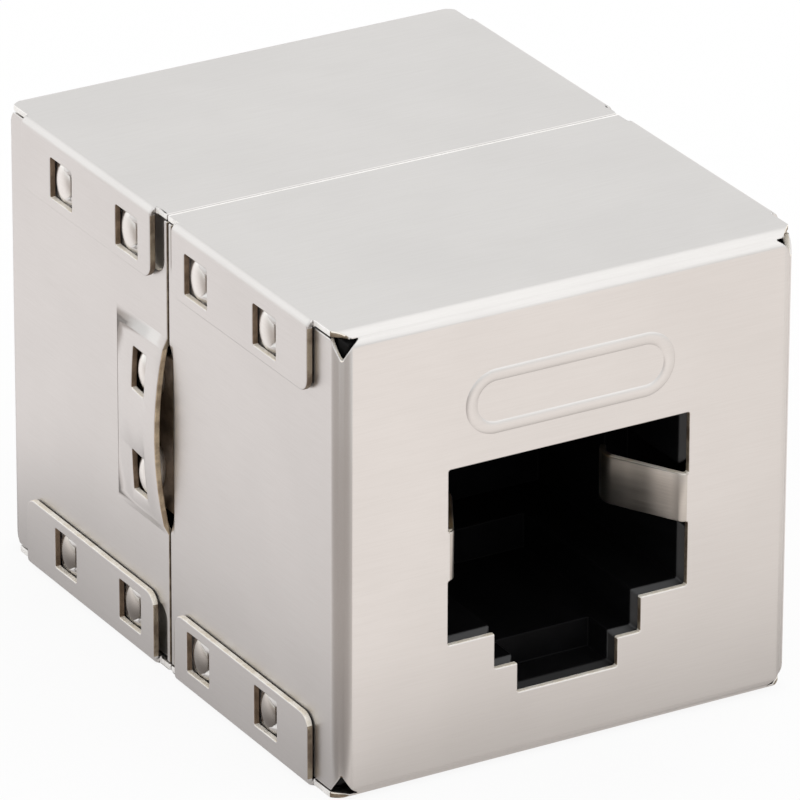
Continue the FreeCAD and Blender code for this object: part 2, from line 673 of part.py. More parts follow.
def make_board():
    """The circuit board in the middle, with one plated slot for each pair of contact pins."""
    body = new_body("circuit_board")
    sketch = new_sketch(body, "board_outline", "XZ_Plane", f"-{BOARD_FACE}")
    box_loop(sketch, "-board_width / 2", "board_width / 2", "board_bottom", "board_bottom + board_height")
    pad(body, "board", sketch, "board_thickness", backwards=True)
    sketch = new_sketch(body, "pin_slot_outline", "XZ_Plane", f"-{BOARD_FACE}")
    half = "(contact_width / 2 + contact_side_gap)"
    box_loop(sketch, f"{contact_place(1)} - {half}", f"{contact_place(1)} + {half}",
             f"{CONTACT_TOP} - contact_thickness - contact_side_gap", f"{CONTACT_TOP} + contact_side_gap")
    slot = pocket(body, "pin_slot", sketch)
    repeat_per_contact(body, slot, sketch)
    return body


front_shell = make_shell("front_shell", add_tongue)
rear_shell = make_shell("rear_shell", add_pocket)
half_turn(rear_shell)
pieces = [front_shell, rear_shell, make_board()]
for end in ("front", "rear"):
    inside = [make_jack_body(f"{end}_jack_body"), make_carrier(f"{end}_contact_carrier")]
    for number in range(1, SIZES["contact_count"] + 1):
        inside.append(make_contact(f"{end}_contact_{number}", number))
    if end == "rear":
        for piece in inside:
            half_turn(piece)
    pieces += inside

doc.recompute()
for item in doc.Objects:
    if "Invalid" in item.State or "Error" in item.State:
        raise RuntimeError(f"{item.Name} failed: {item.State}")
os.makedirs("parts", exist_ok=True)
for piece in pieces:
    if piece.Shape.isNull() or not piece.Shape.isValid():
        raise RuntimeError(f"{piece.Label} is not a valid shape")
    piece.Shape.exportStep(f"parts/{piece.Label}.step")
    print(piece.Label, len(piece.Shape.Solids), round(piece.Shape.Volume, 2), piece.Shape.BoundBox)
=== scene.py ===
import math

import bpy
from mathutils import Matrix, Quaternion, Vector
from mathutils.kdtree import KDTree


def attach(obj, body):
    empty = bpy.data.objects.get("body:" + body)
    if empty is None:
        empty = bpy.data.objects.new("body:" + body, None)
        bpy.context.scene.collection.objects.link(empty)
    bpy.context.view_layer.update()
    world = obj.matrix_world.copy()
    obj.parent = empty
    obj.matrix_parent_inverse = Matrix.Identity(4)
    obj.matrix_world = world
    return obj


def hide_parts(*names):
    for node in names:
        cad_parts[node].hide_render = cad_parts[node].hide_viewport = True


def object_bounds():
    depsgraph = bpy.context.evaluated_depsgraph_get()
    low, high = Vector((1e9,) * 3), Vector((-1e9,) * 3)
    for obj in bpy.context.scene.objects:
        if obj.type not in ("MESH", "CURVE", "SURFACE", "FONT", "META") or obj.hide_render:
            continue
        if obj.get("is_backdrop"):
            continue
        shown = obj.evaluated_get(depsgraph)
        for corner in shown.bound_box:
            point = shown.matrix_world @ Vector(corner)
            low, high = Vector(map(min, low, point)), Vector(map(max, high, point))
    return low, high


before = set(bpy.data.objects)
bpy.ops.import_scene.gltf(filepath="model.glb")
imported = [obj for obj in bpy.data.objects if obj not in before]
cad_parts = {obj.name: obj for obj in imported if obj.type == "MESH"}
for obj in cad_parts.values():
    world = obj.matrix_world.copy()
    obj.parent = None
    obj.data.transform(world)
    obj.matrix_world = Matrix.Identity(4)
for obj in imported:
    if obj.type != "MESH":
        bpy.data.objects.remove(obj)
CAD_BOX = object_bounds()

bl_info = {
    "name": "Shielded Inline Coupler",
    "version": (1, 0, 0),
    "blender": (4, 5, 0),
    "location": "View3D > Sidebar > Coupler",
    "description": "Finishes the coupler's folded case, moulded jacks and contacts",
    "category": "Object",
}

MM = 0.001
HALF_LENGTH = (CAD_BOX[1].y - CAD_BOX[0].y) / 2
HEIGHT = CAD_BOX[1].z
# The two halves and the two walls, each with its side of the middle plane across Y or X.
ENDS = {"front": -1, "rear": 1}
WALLS = {"left": -1, "right": 1}
CONTACTS = 8
# Directions across the part and along it.
ACROSS, ALONG = (1.0, 0.0, 0.0), (0.0, 1.0, 0.0)

# How squarely a face looks along an axis, as the size of that part of its normal.
SLANTED, HALFWAY, FACING, STEEP, SQUARE = 0.3, 0.5, 0.6, 0.7, 0.9
# From here on a face counts as flat, and lends its normal to the edges beside it.
FLAT = 0.9997
# Corners this close are one corner. A fine step merges away once its faces are cut through.
SAME, STEP = 0.0005 * MM, 0.003 * MM
# Edges that turn by more than the first angle are broken, and shading stops at the second.
BREAK_ANGLE, SHADE_ANGLE = math.radians(40), math.radians(50)
# Turns in degrees at the creases of the pressed shapes. The folds turn by 15 or 30 at a step.
CREASES = ((18, 29.4), (30.8, 40))


# ---------------------------------------------------------------- shader recipes

class Value:
    """A shader value. Arithmetic and comparisons on it add Math nodes."""

    def __init__(self, recipe, socket):
        self.recipe = recipe
        self.socket = socket

    def maths(self, operation, *inputs):
        return self.recipe.node("ShaderNodeMath", {"operation": operation},
                                dict(enumerate(inputs)))

    def __add__(self, other):
        return self.maths("ADD", self, other)

    __radd__ = __add__

    def __mul__(self, other):
        return self.maths("MULTIPLY", self, other)

    __rmul__ = __mul__

    def __sub__(self, other):
        return self.maths("SUBTRACT", self, other)

    def __rsub__(self, other):
        return self.maths("SUBTRACT", other, self)

    def __gt__(self, other):
        return self.maths("GREATER_THAN", self, other)

    def __lt__(self, other):
        return self.maths("LESS_THAN", self, other)

    def __abs__(self):
        return self.maths("ABSOLUTE", self)

    def most(self, other):
        return self.maths("MAXIMUM", self, other)


class Recipe:
    """A material, or the world, built from nodes."""

    def __init__(self, owner):
        owner.use_nodes = True
        self.tree = owner.node_tree
        self.tree.nodes.clear()

    def node(self, kind, settings=None, inputs=None, output=0):
        """Add a node of a kind: its settings first, then the values or links of its sockets."""
        made = self.tree.nodes.new(kind)
        for name, value in (settings or {}).items():
            setattr(made, name, value)
        for name, value in (inputs or {}).items():
            self.feed(made.inputs[name], value)
        return Value(self, made.outputs[output]) if made.outputs else None

    def feed(self, socket, value):
        """Link a value to a socket, or set the socket to a number, a vector or a colour."""
        if isinstance(value, Value):
            self.tree.links.new(value.socket, socket)
        elif socket.type == "RGBA":
            socket.default_value = (*value, 1.0)
        else:
            socket.default_value = value

    def vector(self, operation, first, second=None, output="Vector"):
        """A step of vector maths."""
        inputs = {0: first} if second is None else {0: first, 1: second}
        return self.node("ShaderNodeVectorMath", {"operation": operation}, inputs, output)

    def scaled(self, vector, scale):
        return self.node("ShaderNodeVectorMath", {"operation": "SCALE"},
                         {0: vector, "Scale": scale})

    def part(self, vector, axis):
        """One part of a vector: X, Y or Z."""
        return self.node("ShaderNodeSeparateXYZ", None, {0: vector}, axis)

    def place(self):
        """Object coordinates, in millimetres."""
        return self.scaled(self.node("ShaderNodeTexCoord", output="Object"), 1 / MM)

    def stretched(self, place, scales):
        return self.vector("MULTIPLY", place, scales)

    def noise(self, place, scale, detail=3.0, roughness=0.55):
        return self.node("ShaderNodeTexNoise", None,
                         {"Vector": place, "Scale": scale, "Detail": detail,
                          "Roughness": roughness})

    def span(self, value, low, high, to_low=0.0, to_high=1.0):
        """Map a value's span smoothly onto another one."""
        return self.node("ShaderNodeMapRange", {"interpolation_type": "SMOOTHSTEP"},
                         {"Value": value, "From Min": low, "From Max": high,
                          "To Min": to_low, "To Max": to_high})

    def blend(self, factor, first, second):
        """Mix two colours."""
        return self.node("ShaderNodeMix", {"data_type": "RGBA"},
                         {0: factor, 6: first, 7: second}, output=2)

    def bump(self, height, strength, distance):
        return self.node("ShaderNodeBump", None,
                         {"Height": height, "Strength": strength, "Distance": distance})

    def finish(self, **sockets):
        """The surface, from the main shader's sockets by name, with _ for a space."""
        named = {name.replace("_", " "): value for name, value in sockets.items()}
        shader = self.node("ShaderNodeBsdfPrincipled", None, named)
        self.node("ShaderNodeOutputMaterial", None, {"Surface": shader})


def new_material(name):
    material = bpy.data.materials.new(name)
    return material, Recipe(material)


def times(colour, share):
    """A colour made darker, or lighter where the share is over 1."""
    return tuple(part * share for part in colour)


def grain(recipe, place):
    """Fine lines of a brushed sheet: across the lids and the face, and along the walls."""
    normal = recipe.node("ShaderNodeNewGeometry", output="Normal")
    on_wall = abs(recipe.part(normal, "X")) > STEEP
    across = recipe.noise(recipe.stretched(place, (0.5, 22.0, 22.0)), 1.0, 2.0, 0.6)
    along = recipe.noise(recipe.stretched(place, (22.0, 0.5, 22.0)), 1.0, 2.0, 0.6)
    return across + on_wall * (along - across)


def nickel_plating(name, colour, roughness, underside_shade=None):
    """Nickel on rolled sheet: grain, faint cloudiness, handling marks and soft waviness.

    The optional shade is painted shade: a darker colour and the heights, in millimetres, between
    which it fades upwards.
    """
    material, recipe = new_material(name)
    place = recipe.place()
    lines = grain(recipe, place)
    cloud = recipe.noise(place, 0.16, 2.0)
    dust = recipe.noise(place, 3.2, 4.0, 0.65)
    tone = recipe.blend(recipe.span(cloud, 0.3, 0.7), times(colour, 0.965), colour)
    tone = recipe.blend(recipe.span(lines, 0.3, 0.75, 0.0, 0.1), tone, (0.52, 0.49, 0.46))
    # Painted shade: darker towards the bottom, up to the given heights.
    if underside_shade:
        shade, low, high = underside_shade
        tone = recipe.blend(recipe.span(recipe.part(place, "Z"), low, high), shade, tone)
    polish = roughness + (lines - 0.5) * 0.12 + (dust - 0.5) * 0.05 + (cloud - 0.5) * 0.06
    waves = recipe.noise(place, 0.35, 1.0)
    relief = recipe.bump(lines * 0.0007 + dust * 0.0006 + waves * 0.012, 0.5, MM)
    recipe.finish(Base_Color=tone, Metallic=1.0, Roughness=polish, Normal=relief)
    return material


def cut_edge(name, clean, dull, roughness, metallic):
    """A cut edge of the sheet: bare metal with shear lines and dull patches."""
    material, recipe = new_material(name)
    place = recipe.place()
    patches = recipe.noise(place, 1.4, 3.0)
    shear = recipe.noise(place, 14.0, 2.0)
    tone = recipe.blend(recipe.span(patches, 0.35, 0.65), clean, dull)
    tone = recipe.blend(recipe.span(shear, 0.5, 0.8, 0.0, 0.3), tone, times(dull, 0.5))
    relief = recipe.bump(shear, 0.3, 0.02 * MM)
    recipe.finish(Base_Color=tone, Metallic=metallic, Roughness=roughness + (patches - 0.5) * 0.2,
                  Normal=relief)
    return material


def spring_nickel(name, colour):
    """The shield springs: nickel with fine lines along the leaf, and painted shade at its root and
    tip.
    """
    material, recipe = new_material(name)
    place = recipe.place()
    lines = recipe.noise(recipe.stretched(place, (0.4, 0.4, 16.0)), 1.0, 3.0, 0.6)
    # Painted shade: the leaf darkens in steps by its depth in the opening.
    depth = HALF_LENGTH / MM - abs(recipe.part(place, "Y"))
    tone = recipe.blend(recipe.span(depth, 0.15, 0.6), times(colour, 0.6), colour)
    tone = recipe.blend(recipe.span(depth, 1.0, 1.8), tone, times(colour, 0.5))
    tone = recipe.blend(recipe.span(depth, 2.0, 2.6), tone, times(colour, 0.66))
    tone = recipe.blend(recipe.span(lines, 0.35, 0.7, 0.0, 0.3), tone, (0.62, 0.59, 0.54))
    relief = recipe.bump(lines, 0.25, 0.02 * MM)
    recipe.finish(Base_Color=tone, Metallic=1.0, Roughness=0.36 + (lines - 0.5) * 0.2,
                  Normal=relief)
    return material


def jack_plastic(name, colour, sheen):
    """Black moulded plastic: a fine spark texture with faint flow marks and dust."""
    material, recipe = new_material(name)
    place = recipe.place()
    spark = recipe.noise(place, 14.0, 3.0, 0.7)
    flow = recipe.noise(recipe.stretched(place, (0.6, 0.15, 0.6)), 1.0, 2.0)
    dust = recipe.span(recipe.noise(place, 5.0, 4.0, 0.7), 0.7, 0.85, 0.0, 0.2)
    tone = recipe.blend(recipe.span(flow, 0.3, 0.7), colour, times(colour, 1.5))
    tone = recipe.blend(dust, tone, (0.03, 0.03, 0.03))
    relief = recipe.bump(spark, 0.25, 0.03 * MM)
    recipe.finish(Base_Color=tone, Roughness=0.34 + (spark - 0.5) * 0.25, Normal=relief,
                  Specular_IOR_Level=sheen)
    return material


def contact_gold(name):
    """Gold flash over spring bronze, drawn along the wire, with wiped streaks."""
    material, recipe = new_material(name)
    place = recipe.place()
    drawn = recipe.noise(recipe.stretched(place, (30.0, 1.0, 6.0)), 1.0, 2.0)
    patches = recipe.noise(place, 1.1, 2.0)
    tone = recipe.blend(recipe.span(patches, 0.35, 0.7), (0.80, 0.56, 0.22), (0.70, 0.46, 0.17))
    relief = recipe.bump(drawn, 0.2, 0.01 * MM)
    recipe.finish(Base_Color=tone, Metallic=1.0, Roughness=0.2 + (drawn - 0.5) * 0.14,
                  Normal=relief)
    return material


def board_laminate(name):
    """Green solder mask over the woven glass of a circuit board."""
    material, recipe = new_material(name)
    place = recipe.place()
    weave = recipe.node("ShaderNodeTexWave", {"bands_direction": "X"},
                        {"Vector": place, "Scale": 1.2, "Distortion": 1.0, "Detail": 1.0},
                        output="Fac")
    mottle = recipe.noise(place, 0.8, 3.0)
    tone = recipe.blend(recipe.span(mottle, 0.3, 0.7), (0.012, 0.075, 0.028), (0.02, 0.11, 0.04))
    tone = recipe.blend(weave * 0.12, tone, (0.05, 0.16, 0.06))
    relief = recipe.bump(weave, 0.15, 0.02 * MM)
    recipe.finish(Base_Color=tone, Roughness=0.28 + (mottle - 0.5) * 0.1, Normal=relief)
    return material


# ---------------------------------------------------------------- modelling helpers

def select_only(piece):
    bpy.ops.object.select_all(action="DESELECT")
    piece.select_set(True)
    bpy.context.view_layer.objects.active = piece


def select_where(piece, kind, test):
    """In edit mode, select only the polygons or the vertices that pass a test."""
    bpy.ops.object.mode_set(mode="OBJECT")
    mesh = piece.data
    for item in (*mesh.polygons, *mesh.edges, *mesh.vertices):
        item.select = False
    for item in getattr(mesh, kind):
        item.select = test(item)
    bpy.ops.object.mode_set(mode="EDIT")


def paint(piece, *materials):
    """Give a piece these materials, in place of any that it has."""
    piece.data.materials.clear()
    for material in materials:
        piece.data.materials.append(material)


def own_copy(piece, name):
    """A copy of a piece, with a mesh of its own. It is left selected."""
    copy = piece.copy()
    copy.data = piece.data.copy()
    copy.name = copy.data.name = name
    bpy.context.scene.collection.objects.link(copy)
    select_only(copy)
    return copy


def bare_copy(node, name):
    """A copy of a solid, without the solid's notes and parent."""
    piece = own_copy(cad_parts[node], name)
    for key in list(piece.keys()):
        del piece[key]
    piece.parent = None
    return piece


def merge_flats(cuts=()):
    """In edit mode, merge a solid's triangles and make its flat faces whole again.

    cuts are places along Y where a fine step in the faces merges away once it is cut through.
    """
    bpy.ops.mesh.select_all(action="SELECT")
    bpy.ops.mesh.remove_doubles(threshold=SAME)
    for cut in cuts:
        bpy.ops.mesh.select_all(action="SELECT")
        bpy.ops.mesh.bisect(plane_co=(0.0, cut, 0.0), plane_no=ALONG)
    bpy.ops.mesh.select_all(action="SELECT")
    bpy.ops.mesh.remove_doubles(threshold=STEP)
    bpy.ops.mesh.dissolve_limited(angle_limit=math.radians(0.5))


def split_hollows():
    """Split the faces whose outline has a notch, which a bevel can fold over, and end editing."""
    bpy.ops.mesh.select_all(action="SELECT")
    bpy.ops.mesh.vert_connect_concave()
    bpy.ops.object.mode_set(mode="OBJECT")


def keep_flats_flat(piece):
    """Shade the flat faces flat, and carry their normals into the folds and edges beside them."""
    mesh = piece.data
    sharp = {edge.key for edge in mesh.edges if edge.use_edge_sharp}
    beside = {}
    for face in mesh.polygons:
        for key in face.edge_keys:
            beside.setdefault(key, []).append(face)
    normals = []
    for face in mesh.polygons:
        for corner in face.vertices:
            fan, waiting = {face.index: face}, [face]
            while waiting:
                for key in waiting.pop().edge_keys:
                    if corner in key and key not in sharp:
                        fresh = [other for other in beside[key] if other.index not in fan]
                        fan.update((other.index, other) for other in fresh)
                        waiting.extend(fresh)
            flats = [near.normal for near in fan.values() if max(map(abs, near.normal)) > FLAT]
            if flats:
                normals.append(max(flats, key=face.normal.dot).copy())
            else:
                normals.append(sum((near.normal for near in fan.values()), Vector()).normalized())
    mesh.normals_split_custom_set(normals)


def keep_creases(piece):
    """Mark the creases of the pressed shapes sharp where they run along the part."""
    faces, corners = piece.data.polygons, piece.data.vertices
    sides = {}
    for face in faces:
        for key in face.edge_keys:
            sides.setdefault(key, []).append(face.normal)
    for edge in piece.data.edges:
        normals = sides.get(edge.key, [])
        run = corners[edge.vertices[0]].co - corners[edge.vertices[1]].co
        if len(normals) == 2 and abs(run.y) > STEEP * run.length:
            turn = math.degrees(normals[0].angle(normals[1], 0.0))
            edge.use_edge_sharp = any(low < turn < high for low, high in CREASES)


def soften(piece, width):
    """Break the sharp edges by a small bevel and shade the piece smoothly between them."""
    select_only(piece)
    corners = KDTree(len(piece.data.vertices))
    for number, vertex in enumerate(piece.data.vertices):
        corners.insert(vertex.co, number)
    corners.balance()
    keep_creases(piece)
    bevel = piece.modifiers.new("broken_edges", "BEVEL")
    bevel.width = width
    bevel.segments = 2
    bevel.limit_method = "ANGLE"
    bevel.angle_limit = BREAK_ANGLE
    bevel.use_clamp_overlap = False
    bevel.miter_outer = "MITER_ARC"
    bevel.loop_slide = False
    bpy.ops.object.modifier_apply(modifier=bevel.name)
    # At a sliver the bevel throws a corner far off. Such a corner goes back to its neighbour.
    points = piece.data.vertices
    far_off = 2.5 * width
    strays = {point.index for point in points if corners.find(point.co)[2] > far_off}
    for edge in piece.data.edges:
        for stray, anchor in (edge.vertices, reversed(edge.vertices)):
            if stray in strays and anchor not in strays:
                points[stray].co = points[anchor].co
    bpy.ops.object.mode_set(mode="EDIT")
    bpy.ops.mesh.select_all(action="SELECT")
    bpy.ops.mesh.remove_doubles(threshold=SAME)
    bpy.ops.object.mode_set(mode="OBJECT")
    bpy.ops.object.shade_smooth_by_angle(angle=SHADE_ANGLE, keep_sharp_edges=True)
    keep_flats_flat(piece)


def belongs(piece):
    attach(piece, "root")


def stands_for(piece, node):
    belongs(piece)
    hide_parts(node)


# ---------------------------------------------------------------- sizes and colours

class CouplerCaseSettings(bpy.types.PropertyGroup):
    edge_break: bpy.props.FloatProperty(
        name="Edge break", description="Width of the broken edge round the cut sheet",
        default=0.07 * MM, unit="LENGTH", precision=6)
    rim: bpy.props.FloatProperty(
        name="Rim", description="Width of the strips that keep the bevels off the wide faces",
        default=0.2 * MM, unit="LENGTH", precision=6)
    sheet: bpy.props.FloatProperty(
        name="Sheet", description="Thickness of the folded sheet", default=0.3 * MM,
        unit="LENGTH", precision=6)
    fold: bpy.props.FloatProperty(
        name="Fold", description="Depth that the folds round the face take up",
        default=0.8 * MM, unit="LENGTH", precision=6)
    wall: bpy.props.FloatProperty(
        name="Wall", description="From the middle plane to the outer face of a side wall",
        default=11.55 * MM, unit="LENGTH", precision=6)
    flap_start: bpy.props.FloatProperty(
        name="Flap start", description="From the seam to the flaps", default=0.95 * MM,
        unit="LENGTH", precision=6)
    flap_end: bpy.props.FloatProperty(
        name="Flap end", description="From the seam to the far end of the flaps",
        default=13.0 * MM, unit="LENGTH", precision=6)
    flap_corner: bpy.props.FloatProperty(
        name="Flap corner", description="Length that the flaps' round corners take up",
        default=1.0 * MM, unit="LENGTH", precision=6)
    bump_rise: bpy.props.FloatProperty(
        name="Bump rise", description="How far the snap bumps' tips stand out of their wall",
        default=0.27 * MM, unit="LENGTH", precision=6)
    bump_play: bpy.props.FloatProperty(
        name="Bump play", description="How much that rise may differ", default=0.07 * MM,
        unit="LENGTH", precision=6)
    bump_reach: bpy.props.FloatProperty(
        name="Bump reach", description="Half height of the snap bumps' tips", default=0.55 * MM,
        unit="LENGTH", precision=6)
    bump_left: bpy.props.FloatProperty(
        name="Bump left", description="How far a bump that is pressed flat still stands out",
        default=0.008 * MM, unit="LENGTH", precision=6)
    dome_first: bpy.props.FloatProperty(
        name="First dome", description="From the seam to the first dome", default=3.15 * MM,
        unit="LENGTH", precision=6)
    dome_pitch: bpy.props.FloatProperty(
        name="Dome pitch", description="From one dome to the next", default=6.1 * MM,
        unit="LENGTH", precision=6)
    dome_level: bpy.props.FloatProperty(
        name="Dome level", description="From a lid to the domes", default=1.975 * MM,
        unit="LENGTH", precision=6)
    dome_size: bpy.props.FloatVectorProperty(
        name="Dome size", description="Half axes of a dome: its rise, half length and half height",
        default=(0.31 * MM, 0.64 * MM, 0.98 * MM), size=3, subtype="XYZ", unit="LENGTH")
    dome_shift: bpy.props.FloatProperty(
        name="Dome shift", description="How far back the domes sit in their windows",
        default=0.18 * MM, unit="LENGTH", precision=6)
    catch_first: bpy.props.FloatProperty(
        name="Catch", description="From the seam to the catch domes", default=1.98 * MM,
        unit="LENGTH", precision=6)
    catch_pitch: bpy.props.FloatProperty(
        name="Catch pitch", description="From one catch dome to the other", default=5.0 * MM,
        unit="LENGTH", precision=6)
    catch_level: bpy.props.FloatProperty(
        name="Catch level", description="Middle height of the catch domes", default=11.5 * MM,
        unit="LENGTH", precision=6)
    catch_depth: bpy.props.FloatProperty(
        name="Catch depth", description="How deep the tongue lies behind the wall's face",
        default=0.46 * MM, unit="LENGTH", precision=6)
    catch_size: bpy.props.FloatVectorProperty(
        name="Catch size", description="Half axes of a catch dome",
        default=(0.8 * MM, 0.75 * MM, 1.25 * MM), size=3, subtype="XYZ", unit="LENGTH")
    catch_reach: bpy.props.FloatProperty(
        name="Catch reach", description="How far a catch window reaches from its dome",
        default=1.1 * MM, unit="LENGTH", precision=6)
    arch_edge: bpy.props.FloatProperty(
        name="Arch edge", description="Depth of the cut edge over the arched pocket",
        default=0.5 * MM, unit="LENGTH", precision=6)
    arch_level: bpy.props.FloatProperty(
        name="Arch level", description="From a lid to the arched pocket", default=6.5 * MM,
        unit="LENGTH", precision=6)
    opening: bpy.props.FloatProperty(
        name="Opening", description="Width of the opening", default=12.2 * MM, unit="LENGTH",
        precision=6)
    leaf_level: bpy.props.FloatProperty(
        name="Leaf level", description="Middle height of the shield springs",
        default=10.675 * MM, unit="LENGTH", precision=6)
    leaf_height: bpy.props.FloatProperty(
        name="Leaf height", description="Height of a shield spring's leaf", default=2.35 * MM,
        unit="LENGTH", precision=6)
    curl_depth: bpy.props.FloatProperty(
        name="Curl depth", description="How deep the bright end of the right shield spring lies",
        default=3.3 * MM, unit="LENGTH", precision=6)
    label_level: bpy.props.FloatProperty(
        name="Label level", description="Middle height of the blank label", default=17.6 * MM,
        unit="LENGTH", precision=6)
    label_width: bpy.props.FloatProperty(
        name="Label width", description="Width between the bead's middle lines",
        default=10.0 * MM, unit="LENGTH", precision=6)
    label_height: bpy.props.FloatProperty(
        name="Label height", description="Height between the bead's middle lines",
        default=2.5 * MM, unit="LENGTH", precision=6)
    label_bead: bpy.props.FloatProperty(
        name="Label bead", description="Half the bead's width", default=0.36 * MM,
        unit="LENGTH", precision=6)
    label_sink: bpy.props.FloatProperty(
        name="Label sink", description="How deep the bead's middle line lies in the face",
        default=0.1 * MM, unit="LENGTH", precision=6)
    label_rise: bpy.props.FloatProperty(
        name="Label rise", description="How far the bead stands out of the face",
        default=0.07 * MM, unit="LENGTH", precision=6)
    roughness: bpy.props.FloatProperty(
        name="Roughness", description="Mean roughness of the satin plating", default=0.34,
        min=0.0, max=1.0, subtype="FACTOR")
    plating: bpy.props.FloatVectorProperty(
        name="Plating", description="Colour of the nickel plating",
        default=(0.69, 0.675, 0.66), size=3, subtype="COLOR")
    # The upper and catch domes are a lit copy of the plating: painted highlight.
    polished: bpy.props.FloatVectorProperty(
        name="Lit dome", description="Colour of the upper domes and the catch domes",
        default=(0.86, 0.84, 0.81), size=3, subtype="COLOR")
    # The lower domes are a shaded copy of the plating, with painted shade on their undersides.
    tarnished: bpy.props.FloatVectorProperty(
        name="Shaded dome", description="Colour of the lower domes", default=(0.62, 0.59, 0.55),
        size=3, subtype="COLOR")
    underside_shade: bpy.props.FloatVectorProperty(
        name="Underside shade", description="Colour of the lower domes' undersides",
        default=(0.24, 0.22, 0.20), size=3, subtype="COLOR")
    spring: bpy.props.FloatVectorProperty(
        name="Spring", description="Colour of the shield springs", default=(0.88, 0.83, 0.77),
        size=3, subtype="COLOR")
    # Painted light: cut edges that face up get a lit copy of the bare metal colour, the others a
    # shaded one.
    edge_lit: bpy.props.FloatVectorProperty(
        name="Lit cut edge", description="Colour of the cut edges that face up",
        default=(0.95, 0.905, 0.83), size=3, subtype="COLOR")
    edge_dull: bpy.props.FloatVectorProperty(
        name="Lit cut edge, dull", description="Colour of the dull patches of the rolled edges",
        default=(0.82, 0.75, 0.64), size=3, subtype="COLOR")
    edge_shade: bpy.props.FloatVectorProperty(
        name="Cut edge", description="Colour of the bare metal at the other cut edges",
        default=(0.40, 0.335, 0.25), size=3, subtype="COLOR")
    edge_worn: bpy.props.FloatVectorProperty(
        name="Cut edge, dull", description="Colour of the dull patches of the cut edges",
        default=(0.20, 0.15, 0.11), size=3, subtype="COLOR")


class CouplerJackSettings(bpy.types.PropertyGroup):
    edge_break: bpy.props.FloatProperty(
        name="Edge break", description="Width of the rounded edges of the moulding",
        default=0.07 * MM, unit="LENGTH", precision=6)
    rim_depth: bpy.props.FloatProperty(
        name="Rim depth", description="Depth over which the jack's rounded rims catch light",
        default=1.2 * MM, unit="LENGTH", precision=6)
    dim_depth: bpy.props.FloatProperty(
        name="Dim depth", description="Depth from which the plastic has no sheen",
        default=2.2 * MM, unit="LENGTH", precision=6)
    rim_reach: bpy.props.FloatProperty(
        name="Rim reach", description="From the middle plane to the outermost rim",
        default=6.4 * MM, unit="LENGTH", precision=6)
    rim_bottom: bpy.props.FloatProperty(
        name="Rim bottom", description="Height under the lowest rim", default=4.0 * MM,
        unit="LENGTH", precision=6)
    rim_top: bpy.props.FloatProperty(
        name="Rim top", description="Height over the highest rim", default=15.0 * MM,
        unit="LENGTH", precision=6)
    plastic: bpy.props.FloatVectorProperty(
        name="Plastic", description="Colour of the moulded jacks",
        default=(0.003, 0.003, 0.0033), size=3, subtype="COLOR")
    # The rounded rims round the opening are a lighter, glossier copy: painted highlight.
    rim_sheen_tone: bpy.props.FloatVectorProperty(
        name="Rim sheen", description="Colour of the mould's rounded edges",
        default=(0.011, 0.0115, 0.0125), size=3, subtype="COLOR")


